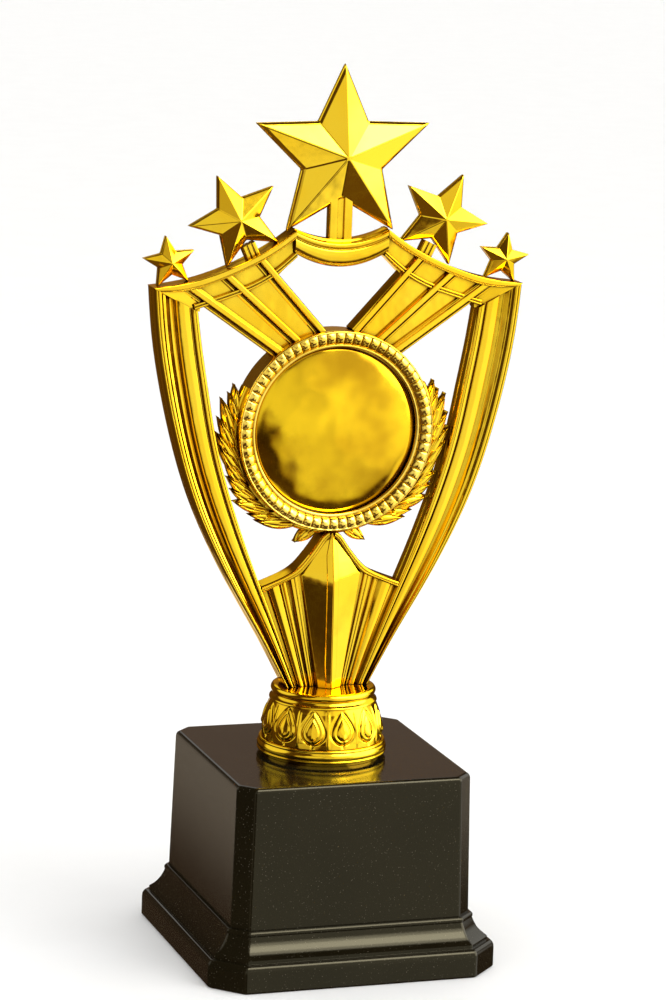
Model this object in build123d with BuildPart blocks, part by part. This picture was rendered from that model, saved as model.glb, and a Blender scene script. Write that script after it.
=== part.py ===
"""A star trophy: a gold half-shell figure clamped on a black plinth by one central bolt.

Millimetres, +Z up, the front of the trophy faces -Y, origin in the middle of the underside.
"""
from build123d import *
from math import atan, cos, degrees, radians, sin
import os

os.makedirs("parts", exist_ok=True)

# ---------------------------------------------------------------- driving dimensions
total_height = 213.0

# Black plinth: an ogee foot with a hollow box on it.
foot_width = 71.4
foot_height = 13.5
foot_band_height = 5.9
foot_band_round = 0.8
foot_cove_inset = 1.6
foot_cove_rise = 1.7
foot_lip_reach = 0.9
foot_lip_height = 1.3
foot_lip_bevel = 0.4
foot_inner_half = 27.0
foot_inner_cut = 2.0
box_width_bottom = 59.4
box_width_top = 58.0
box_corner_cut = 3.6
plinth_height = 47.6
box_wall = 2.4
box_edge_bevel = 0.7
flange_half = 20.0
flange_thickness = 2.4
cover_thickness = 1.6
felt_thickness = 0.8
boss_pitch = 45.0
boss_radius = 3.2
pilot_radius = 1.1
screw_radius = 1.5
screw_length = 12.0
screw_head_radius = 2.6
screw_head_height = 1.8
ballast_size = 36.0
ballast_height = 32.0
ballast_corner_radius = 3.0
ballast_bevel = 1.2

# Central clamp: an M5 bolt from under the box top into a nut trapped in the fan.
bolt_radius = 2.5
bolt_hole_radius = 2.6
bolt_head_radius = 4.6
bolt_head_height = 3.5
bolt_tip = 73.5
bolt_tip_bevel = 0.5
washer_radius = 7.5
washer_thickness = 1.0
nut_flats = 8.0
nut_height = 4.0
nut_bottom = 68.5

# Collar between the plinth and the figure.
collar_top = 64.5
collar_foot_radius = 15.5
collar_foot_top = 49.9
collar_drum_low_radius = 15.0
collar_drum_high_radius = 13.0
collar_drum_top = 59.4
collar_bead_top = 60.6
collar_ring_radius = 12.6
collar_ring_bottom = 61.2
collar_step = 0.3
collar_wall = 2.2
collar_cavity_top = 60.0
collar_hub_wall = 2.0

# Figure: every member is a front moulding and a back moulding that meet on the plane y = 0.
member_depth = 3.2
arm_points_outer = [(45.6, 161.3), (44.6, 150.5), (42.8, 139.5), (39.8, 126.5), (34.9, 111.0),
                    (29.5, 99.0), (24.0, 88.8), (16.7, 76.5), (10.2, 64.5)]
arm_points_inner = [(34.6, 155.4), (33.3, 146.5), (31.5, 136.5), (29.2, 124.5), (25.1, 110.2),
                    (20.9, 98.4), (17.1, 88.8), (12.3, 76.5), (7.85, 64.5)]
# Lips, slope and channel across an arm, from its outer edge to its inner edge: (from, to, depth).
arm_bands = [(0.0, 0.15, 3.2), (0.15, 0.46, 2.2), (0.46, 0.80, 2.7), (0.80, 0.86, 2.0),
             (0.86, 1.0, 2.9)]
trim_depth = 12.0

rail_points_upper = [(45.6, 161.3), (37.5, 162.4), (29.5, 164.7), (21.5, 168.1), (15.3, 171.6),
                     (11.4, 174.4)]
rail_thickness = 1.9
rail_tip_inset = 1.2
brace_ribs = [((34.2, 159.4), (14.6, 145.1)), ((26.1, 161.7), (9.4, 147.1)),
              ((18.6, 165.6), (4.9, 150.5))]
brace_rib_width = 2.4
brace_rib_depth = 2.7
brace_panel_depth = 1.4
cross_rail_points = [(35.4, 156.4), (31.0, 157.9), (25.3, 159.8), (18.5, 162.8), (12.4, 166.4)]
cross_rail_thickness = 1.3

swag_half = 11.4
swag_ends_upper = 174.4
swag_middle_upper = 171.2
swag_height = 5.6
swag_depth = 3.0

medallion_height = 126.6
ring_radius = 24.1
ring_inner_radius = 20.0
ring_depth = 4.4
ring_bevel = 1.2
dome_radius = 19.8
dome_seat = 1.0
dome_rim = 0.5
dome_rise = 3.4
dome_bulge = 0.78

fan_top = 102.4
fan_peak = (3.2, 100.4)
fan_shoulder = (8.9, 93.7)
fan_corner = (16.9, 89.9)
fan_base = 64.5
fan_base_half = 9.0
fan_depth = 3.1
fan_web_depth = 1.9
fan_crown_height = 1.6
fan_ribs = [(3.7, 8.6), (5.0, 11.6), (6.6, 14.0)]
fan_rib_top = 89.9
fan_rib_half = 0.5
panel_corner = (7.4, 91.8)
panel_base_half = 2.6
panel_base_edge_depth = 4.4
panel_base_ridge_depth = 6.0
panel_ridge_rise = 1.7
panel_tip_half = 0.6
panel_tip_height = 101.4
panel_tip_depth = 2.2
panel_tip_ridge_depth = 2.7

star_squat = 0.96
star_waist = 0.466
star_edge = 1.2
star_core = 0.4
big_star = (22.5, 4.2)
medium_star = (25.3, 176.6, 11.9, 25.4, 2.8)
small_star = (41.3, 166.8, 6.6, 9.3, 1.8)

post_width = 5.8
post_depth = 1.5
post_groove_width = 0.8
post_groove_depth = 0.8
post_overlap = 1.5
peg_width = 3.4
peg_depth = 1.4
peg_reach = 0.64

# Leaves of one spray, each from its root on the ring to its tip.
laurel_leaves = [((23.4, 128.5), (24.8, 138.0)), ((23.4, 122.5), (27.9, 134.8)),
                 ((22.8, 119.5), (28.6, 130.3)), ((22.6, 117.0), (29.0, 126.8)),
                 ((21.6, 114.8), (28.4, 123.7)), ((20.4, 112.6), (26.6, 119.4)),
                 ((19.2, 110.8), (26.0, 115.9)), ((17.6, 109.2), (25.1, 112.9)),
                 ((15.6, 107.6), (24.3, 109.9)), ((12.4, 105.8), (20.5, 106.6)),
                 ((8.6, 104.4), (18.7, 105.0)), ((3.4, 103.4), (8.9, 99.6))]
leaf_width = 3.2
leaf_depth = 2.2
garland_first_angle = 160.0
garland_last_angle = 262.0
garland_width = 1.2
garland_depth = 1.6
garland_bite = 1.0


# ---------------------------------------------------------------- helpers
def save(part, name):
    """Label a finished piece and write it as its own STEP file."""
    part.label = name
    export_step(part, f"parts/{name}.step")


def save_half_pair(name, front):
    """Write a front moulding and the back moulding that mirrors it."""
    save(front, f"{name}_front")
    with BuildPart() as back:
        add(front)
        mirror(about=Plane.XZ, mode=Mode.REPLACE)
    save(back.part, f"{name}_back")


def save_four(name, front_left):
    """Write the left and right copies of a member, each as a front and a back moulding."""
    save_half_pair(f"{name}_left", front_left)
    with BuildPart() as front_right:
        add(front_left)
        mirror(about=Plane.YZ, mode=Mode.REPLACE)
    save_half_pair(f"{name}_right", front_right.part)


def flip(points):
    """The same outline on the left side."""
    return [(-x, z) for x, z in points]


def ray(angle, length):
    """A vector of a length at an angle in degrees, in a sketch's own plane."""
    return Vector(length * cos(radians(angle)), length * sin(radians(angle)))


def between(points_a, points_b, share):
    """Points a share of the way from one edge of a member to its other edge."""
    return [(ax + (bx - ax) * share, az + (bz - az) * share)
            for (ax, az), (bx, bz) in zip(points_a, points_b)]


def cut_square(half, corner_cut):
    """Points of a square outline with its four corners cut off, starting at the front left."""
    inner = half - corner_cut
    quarter = [(-inner, -half), (inner, -half)]
    points = []
    for _ in range(4):
        points += quarter
        quarter = [(-y, x) for x, y in quarter]
    return points


# ---------------------------------------------------------------- black plinth
box_height = plinth_height - foot_height
box_draft = degrees(atan((box_width_bottom - box_width_top) / 2 / box_height))
box_corners = [(x, y) for x in (-boss_pitch / 2, boss_pitch / 2) for y in (-boss_pitch / 2, boss_pitch / 2)]


def plinth_box():
    """The hollow box: drafted walls, bevelled top edge, four screw bosses and the bolt hole."""
    with BuildPart() as box:
        with BuildSketch(Plane.XY.offset(foot_height)):
            Polygon(*cut_square(box_width_bottom / 2, box_corner_cut), align=None)
        extrude(amount=box_height, taper=box_draft)
        chamfer(box.edges().group_by(Axis.Z)[-1], box_edge_bevel)
        with BuildSketch(Plane.XY.offset(foot_height)):
            Polygon(*cut_square(box_width_bottom / 2 - box_wall, box_corner_cut), align=None)
        extrude(amount=box_height - box_wall, taper=box_draft, mode=Mode.SUBTRACT)
        with BuildSketch(Plane.XY.offset(foot_height)):
            with Locations(*box_corners):
                Circle(boss_radius)
                Circle(pilot_radius, mode=Mode.SUBTRACT)
        extrude(amount=box_height - box_wall / 2)
        with Locations((0, 0, plinth_height)):
            Hole(bolt_hole_radius, depth=2 * box_wall)
    save(box.part, "plinth_box")


def foot_profile():
    """The ogee moulding seen from its end, measured outwards from the foot's inner wall."""
    band = foot_width / 2 - foot_inner_half
    top = box_width_bottom / 2 + foot_lip_bevel - foot_inner_half
    cove_low = (band - foot_cove_inset, foot_band_height + foot_cove_rise)
    cove_high = (top - foot_lip_bevel + foot_lip_reach, foot_height - foot_lip_height)
    cove_middle = ((cove_low[0] + cove_high[0]) / 2 - foot_band_round,
                   (cove_low[1] + cove_high[1]) / 2 - foot_band_round)
    with BuildLine() as profile:
        Polyline((0, 0), (band, 0), (band, foot_band_height))
        RadiusArc((band, foot_band_height), (band - foot_band_round, foot_band_height + foot_band_round),
                  -foot_band_round)
        Polyline((band - foot_band_round, foot_band_height + foot_band_round),
                 (cove_low[0], foot_band_height + foot_band_round), cove_low)
        ThreePointArc(cove_low, cove_middle, cove_high)
        Polyline(cove_high, (top + foot_lip_bevel, foot_height - foot_lip_bevel), (top, foot_height),
                 (0, foot_height), (0, 0))
    return profile.line


def plinth_foot():
    """The ogee foot: one moulding profile carried round the cut square, with a flange inside."""
    with BuildPart() as foot:
        with BuildLine() as path:
            Polyline(*cut_square(foot_inner_half, foot_inner_cut), close=True)
        with BuildSketch(Plane(origin=(0, -foot_inner_half, 0), x_dir=(0, -1, 0), z_dir=(-1, 0, 0))):
            with BuildLine():
                add(foot_profile())
            make_face()
        sweep(path=path.wire(), transition=Transition.RIGHT)
        with BuildSketch(Plane.XY.offset(foot_height - flange_thickness)):
            Polygon(*cut_square(foot_inner_half + foot_lip_bevel, foot_inner_cut), align=None)
            Rectangle(2 * flange_half, 2 * flange_half, mode=Mode.SUBTRACT)
            with Locations(*box_corners):
                Circle(screw_radius, mode=Mode.SUBTRACT)
        extrude(amount=flange_thickness)
    save(foot.part, "plinth_foot")


def underside():
    """Board cover and felt sheet let into the foot, and the four screws that hold box to foot."""
    with BuildPart() as cover:
        with BuildSketch(Plane.XY.offset(felt_thickness)):
            Polygon(*cut_square(foot_inner_half - 0.1, foot_inner_cut), align=None)
        extrude(amount=cover_thickness)
    save(cover.part, "bottom_cover")
    with BuildPart() as felt:
        with BuildSketch():
            Polygon(*cut_square(foot_inner_half - 0.4, foot_inner_cut), align=None)
        extrude(amount=felt_thickness)
    save(felt.part, "felt_sheet")
    with BuildPart() as screws:
        with Locations(*[(x, y, foot_height - flange_thickness) for x, y in box_corners]):
            Cylinder(pilot_radius, screw_length, align=(Align.CENTER, Align.CENTER, Align.MIN))
            Cylinder(screw_head_radius, screw_head_height, align=(Align.CENTER, Align.CENTER, Align.MAX))
    save(screws.part, "foot_screws")


def ballast():
    """The weight that keeps the trophy standing: a block on the cover, inside the bosses."""
    with BuildPart() as block:
        with BuildSketch(Plane.XY.offset(felt_thickness + cover_thickness)):
            RectangleRounded(ballast_size, ballast_size, ballast_corner_radius)
        extrude(amount=ballast_height)
        chamfer(block.edges().group_by(Axis.Z)[-1], ballast_bevel)
    save(block.part, "ballast_block")


# ---------------------------------------------------------------- central clamp
def clamp():
    """Washer under the box top, hex bolt up through the collar, nut trapped in the fan."""
    washer_bottom = plinth_height - box_wall - washer_thickness
    with BuildPart() as washer:
        with BuildSketch(Plane.XY.offset(washer_bottom)):
            Circle(washer_radius)
            Circle(bolt_hole_radius, mode=Mode.SUBTRACT)
        extrude(amount=washer_thickness)
    save(washer.part, "clamp_washer")
    with BuildPart() as bolt:
        with BuildSketch(Plane.XY.offset(washer_bottom)):
            RegularPolygon(bolt_head_radius, 6)
        extrude(amount=-bolt_head_height)
        with BuildSketch(Plane.XY.offset(washer_bottom)):
            Circle(bolt_radius)
        extrude(amount=bolt_tip - washer_bottom)
        chamfer(bolt.edges().group_by(Axis.Z)[-1], bolt_tip_bevel)
    save(bolt.part, "clamp_bolt")
    with BuildPart() as nut:
        with BuildSketch(Plane.XY.offset(nut_bottom)):
            RegularPolygon(nut_flats / 2, 6, major_radius=False)
            Circle(bolt_radius, mode=Mode.SUBTRACT)
        extrude(amount=nut_height)
    save(nut.part, "clamp_nut")


def collar():
    """The round collar: foot ring, flared drum, bead and plain top ring, hollow underneath."""
    hub = bolt_hole_radius + collar_hub_wall
    outside = [(collar_ring_radius - 2 * collar_step, collar_top),
               (collar_ring_radius, collar_top - 2 * collar_step),
               (collar_ring_radius, collar_ring_bottom),
               (collar_ring_radius - collar_step, collar_ring_bottom - collar_step),
               (collar_drum_high_radius, collar_bead_top),
               (collar_drum_high_radius, collar_drum_top + collar_step),
               (collar_drum_high_radius - collar_step, collar_drum_top),
               (collar_drum_low_radius, collar_foot_top),
               (collar_foot_radius, collar_foot_top - collar_step),
               (collar_foot_radius, plinth_height)]
    inside = [(collar_foot_radius - collar_wall, plinth_height),
              (collar_ring_radius - collar_wall, collar_cavity_top), (hub, collar_cavity_top),
              (hub, plinth_height), (bolt_hole_radius, plinth_height), (bolt_hole_radius, collar_top)]
    with BuildPart() as ring:
        with BuildSketch(Plane.XZ):
            with BuildLine():
                Polyline(*outside, *inside, close=True)
            make_face()
        revolve(axis=Axis.Z)
    save(ring.part, "collar")


# ---------------------------------------------------------------- figure
def band(edge_a, edge_b, depth):
    """A flat member between two smooth edges, standing a depth in front of the parting plane."""
    with BuildPart() as member:
        with BuildSketch(Plane.XZ):
            with BuildLine():
                Spline(*edge_a)
                Line(edge_a[-1], edge_b[-1])
                Spline(*edge_b)
                Line(edge_b[0], edge_a[0])
            make_face()
        extrude(amount=depth)
    return member.part


def blank(*outline):
    """Everything inside a straight-sided outline, deeper than any member, for trimming neighbours."""
    with BuildPart() as inside:
        with BuildSketch(Plane.XZ):
            Polygon(*outline, align=None)
        extrude(amount=trim_depth)
    return inside.part


def ring_blank():
    """The bead ring's outline, deeper than any member."""
    with BuildPart() as inside:
        with BuildSketch(Plane.XZ):
            with Locations((0, medallion_height)):
                Circle(ring_radius)
        extrude(amount=trim_depth)
    return inside.part


def swag_blank():
    """Everything under the swag's upper edge, deeper than any member."""
    floor = swag_middle_upper - 2 * swag_height
    with BuildPart() as inside:
        with BuildSketch(Plane.XZ):
            with BuildLine():
                ThreePointArc((-swag_half, swag_ends_upper), (0, swag_middle_upper),
                              (swag_half, swag_ends_upper))
                Polyline((swag_half, swag_ends_upper), (swag_half, floor), (-swag_half, floor),
                         (-swag_half, swag_ends_upper))
            make_face()
        extrude(amount=trim_depth)
    return inside.part


rail_upper = flip(rail_points_upper)
rail_lower = [(x, z - rail_thickness) for x, z in rail_upper]
rail_lower[0] = (rail_upper[0][0] + rail_tip_inset, rail_upper[0][1] - rail_thickness / 2)
fan_crown = [(-fan_corner[0], fan_corner[1]), (-fan_shoulder[0], fan_shoulder[1]),
             (-fan_peak[0], fan_peak[1]), (0, fan_top), fan_peak, fan_shoulder, fan_corner]
fan_outline = [*fan_crown, (fan_base_half, fan_base), (-fan_base_half, fan_base)]

in_arm = band(flip(arm_points_outer), flip(arm_points_inner), trim_depth)
in_rail = band(rail_upper, rail_lower, trim_depth)
above_rail = band([(x, z + trim_depth) for x, z in rail_upper], rail_lower, trim_depth)
below_rail = band(rail_upper, [(x, z - trim_depth) for x, z in rail_upper], trim_depth)
in_ring = ring_blank()
in_swag = swag_blank()
in_fan = blank(*fan_outline)


def arms():
    """Two fluted arms that bow outwards and taper down to the collar."""
    with BuildPart() as arm:
        for start, end, depth in arm_bands:
            add(band(flip(between(arm_points_outer, arm_points_inner, start)),
                     flip(between(arm_points_outer, arm_points_inner, end)), depth))
    save_four("arm", arm.part)


def rails():
    """The swept rail over each arm and brace, from the arm's tip up to the swag."""
    with BuildPart() as rail:
        add(band(rail_upper, rail_lower, member_depth))
        add(in_arm, mode=Mode.SUBTRACT)
    save_four("top_rail", rail.part)


def swag():
    """The hanging crescent between the two rails, under the big star."""
    with BuildPart() as crescent:
        with BuildSketch(Plane.XZ):
            with BuildLine():
                ThreePointArc((-swag_half, swag_ends_upper), (0, swag_middle_upper),
                              (swag_half, swag_ends_upper))
                Line((swag_half, swag_ends_upper), (swag_half, swag_ends_upper - swag_height))
                ThreePointArc((swag_half, swag_ends_upper - swag_height),
                              (0, swag_middle_upper - swag_height),
                              (-swag_half, swag_ends_upper - swag_height))
                Line((-swag_half, swag_ends_upper - swag_height), (-swag_half, swag_ends_upper))
            make_face()
        extrude(amount=swag_depth)
    save_half_pair("swag", crescent.part)


def medallion():
    """Bead ring with a thin web behind a domed insert, on both faces of the figure."""
    with BuildPart() as ring:
        with BuildSketch(Plane.XZ):
            with Locations((0, medallion_height)):
                Circle(ring_radius)
        extrude(amount=ring_depth)
        chamfer(ring.edges().filter_by(GeomType.CIRCLE).group_by(Axis.Y)[0], ring_bevel)
        with BuildSketch(Plane.XZ.offset(dome_seat)):
            with Locations((0, medallion_height)):
                Circle(ring_inner_radius)
        extrude(amount=ring_depth, mode=Mode.SUBTRACT)
    save_half_pair("bead_ring", ring.part)
    front = -dome_seat - dome_rise
    rim_height = medallion_height + dome_radius
    with BuildPart() as dome:
        with BuildSketch(Plane.YZ):
            with BuildLine():
                Line((-dome_seat, medallion_height), (front, medallion_height))
                ThreePointArc((front, medallion_height),
                              (-dome_seat - dome_bulge * dome_rise, medallion_height + dome_radius / 2),
                              (-dome_seat - dome_rim, rim_height))
                Polyline((-dome_seat - dome_rim, rim_height), (-dome_seat, rim_height),
                         (-dome_seat, medallion_height))
            make_face()
        revolve(axis=Axis((0, 0, medallion_height), (0, 1, 0)))
    save_half_pair("medal_dome", dome.part)


def braces():
    """The ribbed cross braces: three converging ribs over a thin panel, and a cross rail."""
    outer_rib, inner_rib = flip(brace_ribs[0]), flip(brace_ribs[2])
    cross_rail = flip(cross_rail_points)
    with BuildPart() as brace:
        with BuildSketch(Plane.XZ):
            Polygon(*outer_rib, *reversed(inner_rib), align=None)
        extrude(amount=brace_panel_depth)
        add(band(cross_rail, rail_lower, brace_panel_depth))
        add(band(cross_rail, [(x, z + cross_rail_thickness) for x, z in cross_rail], brace_rib_depth))
        for (x_out, z_out), (x_in, z_in) in brace_ribs:
            rib = Vector(x_in - x_out, z_in - z_out)
            angle = 180 - Vector(1, 0).get_signed_angle(rib, Vector(0, 0, 1))
            with BuildSketch(Plane.XZ):
                with Locations(Location((-(x_in + x_out) / 2, (z_in + z_out) / 2, 0), (0, 0, angle))):
                    Rectangle(rib.length + brace_rib_width, brace_rib_width)
            extrude(amount=brace_rib_depth)
        for neighbour in (in_arm, in_rail, above_rail, in_ring, in_swag):
            add(neighbour, mode=Mode.SUBTRACT)
    save_four("brace", brace.part)


def section(half_width, edge_depth, ridge_depth, height):
    """A cross-section of the centre panel: flat behind, a ridge in front."""
    with BuildSketch(Plane.XY.offset(height)) as outline:
        Polygon((-half_width, 0), (-half_width, -edge_depth), (0, -ridge_depth), (half_width, -edge_depth),
                (half_width, 0), align=None)
    return outline.sketch


def fan():
    """The fan under the medallion: a ridged centre panel, a crown rail and radiating ribs."""
    crown_foot = [(x, z - fan_crown_height) for x, z in reversed(fan_crown)]
    wide_section = (panel_corner[0], fan_depth, fan_depth + panel_ridge_rise, panel_corner[1])
    with BuildPart() as spread:
        with BuildSketch(Plane.XZ):
            Polygon(*fan_outline, align=None)
        extrude(amount=fan_web_depth)
        with BuildSketch(Plane.XZ):
            Polygon(*fan_crown, *crown_foot, align=None)
            for side in (-1, 1):
                for foot_x, head_x in fan_ribs:
                    Polygon((side * (foot_x - fan_rib_half), fan_base),
                            (side * (foot_x + fan_rib_half), fan_base),
                            (side * (head_x + fan_rib_half), fan_rib_top),
                            (side * (head_x - fan_rib_half), fan_rib_top), align=None)
        extrude(amount=fan_depth)
        add(section(panel_base_half, panel_base_edge_depth, panel_base_ridge_depth, fan_base))
        add(section(*wide_section))
        loft(ruled=True)
        add(section(*wide_section))
        add(section(panel_tip_half, panel_tip_depth, panel_tip_ridge_depth, panel_tip_height))
        loft(ruled=True)
        for neighbour in (in_arm, mirror(in_arm, about=Plane.YZ, mode=Mode.PRIVATE), in_ring):
            add(neighbour, mode=Mode.SUBTRACT)
        with BuildSketch(Plane.XY.offset(fan_base)):
            Circle(bolt_hole_radius)
        extrude(amount=bolt_tip + 1 - fan_base, mode=Mode.SUBTRACT)
        with BuildSketch(Plane.XY.offset(nut_bottom)):
            RegularPolygon(nut_flats / 2, 6, major_radius=False)
        extrude(amount=nut_height, mode=Mode.SUBTRACT)
        split(bisect_by=Plane.XZ)
    save_half_pair("fan", spread.part)


def star_points(radius, turn):
    """The ten corners of a five-pointed star, tips and waists in turn, about its own middle."""
    points = []
    for corner in range(10):
        reach = radius if corner % 2 == 0 else radius * star_waist
        angle = radians(turn + 36 * corner)
        points.append((reach * sin(angle), star_squat * reach * cos(angle)))
    return points


def star_half(middle, radius, turn, rise):
    """The front half of a faceted star: a thin edge and ten facets up to the centre."""
    outline = [(middle[0] + x, middle[1] + z) for x, z in star_points(radius, turn)]
    with BuildPart() as star:
        with BuildSketch(Plane.XZ):
            Polygon(*outline, align=None)
        extrude(amount=star_edge)
        with BuildSketch(Plane.XZ.offset(star_edge)) as rim:
            Polygon(*outline, align=None)
        loft(sections=(rim.sketch, Vertex(middle[0], -star_edge - rise, middle[1])))
        with Locations((middle[0], 0, middle[1])):
            Sphere(star_core * radius * star_waist, mode=Mode.SUBTRACT)
        add(in_rail, mode=Mode.SUBTRACT)
        mirror(in_rail, about=Plane.YZ, mode=Mode.SUBTRACT)
        add(in_swag, mode=Mode.SUBTRACT)
    return star.part


def stars():
    """One big star over the swag, and a medium and a small star over each rail."""
    radius, rise = big_star
    height = total_height - star_squat * radius
    save_half_pair("big_star", star_half((0, height), radius, 0, rise))
    for name, (across, height, radius, turn, rise) in (("medium_star", medium_star),
                                                       ("small_star", small_star)):
        save_four(name, star_half((-across, height), radius, -turn, rise))


def star_posts():
    """The lug that carries the big star on the swag, and the lug behind each medium star."""
    radius, rise = big_star
    top = total_height - star_squat * radius * (1 + star_waist) + post_overlap
    bottom = swag_middle_upper - post_overlap
    with BuildPart() as lug:
        for width, depth, mode in ((post_width, post_depth, Mode.ADD),
                                   (post_groove_width, post_groove_depth, Mode.SUBTRACT)):
            with BuildSketch(Plane.XZ.offset(post_depth)):
                with Locations((0, (top + bottom) / 2)):
                    Rectangle(width, top - bottom)
            extrude(amount=-depth, mode=mode)
        add(in_swag, mode=Mode.SUBTRACT)
        add(star_half((0, total_height - star_squat * radius), radius, 0, rise), mode=Mode.SUBTRACT)
    save_half_pair("big_star_post", lug.part)
    across, height, radius, turn, rise = medium_star
    reach = peg_reach * radius
    with BuildPart() as peg:
        with BuildSketch(Plane.XZ):
            with Locations(Location((-across + reach * sin(radians(turn)),
                                     height - reach * cos(radians(turn)), 0), (0, 0, -turn))):
                Rectangle(peg_width, reach)
        extrude(amount=peg_depth)
        for neighbour in (below_rail, star_half((-across, height), radius, -turn, rise)):
            add(neighbour, mode=Mode.SUBTRACT)
    save_four("medium_star_post", peg.part)


def laurels():
    """A spray of lance-shaped leaves on each side of the ring, tips pointing up and outwards."""
    with BuildPart() as spray:
        for root_point, tip_point in laurel_leaves:
            root, tip = (Vector(*point) for point in flip([root_point, tip_point]))
            middle = (root + tip) / 2
            across = (tip - root).normalized().rotate(Axis.Z, 90) * leaf_width / 2
            with BuildSketch(Plane.XZ):
                with BuildLine():
                    ThreePointArc(root, middle + across, tip)
                    ThreePointArc(tip, middle - across, root)
                make_face()
            extrude(amount=leaf_depth)
        centre = Vector(0, medallion_height)
        sweep = garland_last_angle - garland_first_angle
        with BuildSketch(Plane.XZ):
            with BuildLine():
                CenterArc(centre, ring_radius + garland_width, garland_first_angle, sweep)
                CenterArc(centre, ring_radius - garland_bite, garland_first_angle, sweep)
                for angle in (garland_first_angle, garland_last_angle):
                    PolarLine(centre + ray(angle, ring_radius - garland_bite),
                              garland_width + garland_bite, angle)
            make_face()
        extrude(amount=garland_depth)
        for neighbour in (in_ring, in_arm, in_fan):
            add(neighbour, mode=Mode.SUBTRACT)
    save_four("laurel", spray.part)


plinth_box()
plinth_foot()
underside()
ballast()
clamp()
collar()
arms()
rails()
swag()
medallion()
braces()
fan()
stars()
star_posts()
laurels()
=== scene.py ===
"""The star trophy's looks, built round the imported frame.

Shapes are drawn in millimetres in the CAD frame and scaled to metres when the meshes are made.
"""
import math

import bmesh
import bpy
import numpy as np
from mathutils import Matrix, Vector


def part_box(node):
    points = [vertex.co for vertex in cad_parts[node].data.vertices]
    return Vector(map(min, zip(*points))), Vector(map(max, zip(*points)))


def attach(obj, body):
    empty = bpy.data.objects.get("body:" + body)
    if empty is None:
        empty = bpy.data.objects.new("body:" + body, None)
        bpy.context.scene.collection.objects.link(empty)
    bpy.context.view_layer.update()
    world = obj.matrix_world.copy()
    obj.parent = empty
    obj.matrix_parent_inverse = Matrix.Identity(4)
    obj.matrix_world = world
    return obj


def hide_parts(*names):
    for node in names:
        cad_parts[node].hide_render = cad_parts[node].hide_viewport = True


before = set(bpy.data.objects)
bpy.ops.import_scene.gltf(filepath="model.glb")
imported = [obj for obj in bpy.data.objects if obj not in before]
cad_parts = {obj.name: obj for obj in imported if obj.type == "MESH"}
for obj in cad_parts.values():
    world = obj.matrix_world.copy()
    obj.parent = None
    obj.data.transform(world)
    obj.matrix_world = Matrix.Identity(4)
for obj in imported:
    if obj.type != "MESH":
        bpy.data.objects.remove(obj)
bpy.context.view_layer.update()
scene = bpy.context.scene
MM = 0.001
X, Z = 0, 2
materials = {}


def span(node, axis):
    """The lowest and the highest place of a CAD node along one axis, in millimetres."""
    low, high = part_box(node)
    return low[axis] / MM, high[axis] / MM


# Places and sizes that drive the shapes, read from the frame.
RING_HEIGHT = sum(span("bead_ring_front", Z)) / 2
RING_RADIUS = span("bead_ring_front", X)[1]
DOME_RADIUS = span("medal_dome_front", X)[1]
SHOULDER = (span("arm_right_front", X)[1], span("arm_right_front", Z)[1])
RAIL_PEAK = (span("top_rail_right_front", X)[0], span("top_rail_right_front", Z)[1])
TROPHY_TOP = span("big_star_front", Z)[1]
COLLAR_TOP = span("collar", Z)[1]
SEAM_HEIGHT, PLINTH_TOP = span("plinth_box", Z)
BOX_HALF = span("plinth_box", X)[1]
FOOT_HALF = span("plinth_foot", X)[1]
BOLT_HOLE = 2.6


# ---------------------------------------------------------------- node helpers
class Nodes:
    """Short ways to add and wire shader nodes in one tree."""

    def __init__(self, tree):
        self.tree = tree
        tree.nodes.clear()

    def add(self, kind, **settings):
        node = self.tree.nodes.new(kind)
        for key, value in settings.items():
            setattr(node, key, value)
        return node

    def plug(self, value, socket):
        if isinstance(value, bpy.types.NodeSocket):
            self.tree.links.new(value, socket)
        else:
            socket.default_value = value

    def math(self, operation, a, b):
        node = self.add("ShaderNodeMath", operation=operation)
        self.plug(a, node.inputs[0])
        self.plug(b, node.inputs[1])
        return node.outputs[0]

    def step(self, value, low, high, out_low=0.0, out_high=1.0):
        node = self.add("ShaderNodeMapRange", interpolation_type="SMOOTHSTEP")
        for socket, number in zip(node.inputs, (value, low, high, out_low, out_high)):
            self.plug(number, socket)
        return node.outputs[0]

    def noise(self, vector, scale, detail=2.0, roughness=0.5):
        node = self.add("ShaderNodeTexNoise")
        self.plug(vector, node.inputs["Vector"])
        node.inputs["Scale"].default_value = scale
        node.inputs["Detail"].default_value = detail
        node.inputs["Roughness"].default_value = roughness
        return node.outputs["Fac"]

    def mix(self, share, a, b):
        node = self.add("ShaderNodeMix", data_type="RGBA")
        self.plug(share, node.inputs[0])
        self.plug(a, node.inputs[6])
        self.plug(b, node.inputs[7])
        return node.outputs[2]

    def bump(self, height, distance, under=None):
        node = self.add("ShaderNodeBump")
        self.plug(height, node.inputs["Height"])
        node.inputs["Distance"].default_value = distance
        if under:
            self.plug(under, node.inputs["Normal"])
        return node.outputs["Normal"]


def colour(red, green, blue):
    return (red, green, blue, 1.0)


CLOUD_SCALE = 45
SPECK_SCALE = 1900
SPECK_PATCH_SCALE = 2600
SPECK_COLOUR = (0.45, 0.40, 0.30)
COAT_ROUGHNESS = 0.12


def add_specks(nodes, place, tint, share):
    """Small pale flecks in some of the cells of a Voronoi pattern."""
    cells = nodes.add("ShaderNodeTexVoronoi")
    nodes.plug(place, cells.inputs["Vector"])
    cells.inputs["Scale"].default_value = SPECK_SCALE
    near = nodes.step(cells.outputs["Distance"], 0.30, 0.16)
    keep = nodes.step(nodes.noise(place, SPECK_PATCH_SCALE, 1), 0.56, 0.62)
    seen = nodes.math("MULTIPLY", nodes.math("MULTIPLY", near, keep), share)
    return nodes.mix(seen, tint, colour(*SPECK_COLOUR))


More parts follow.
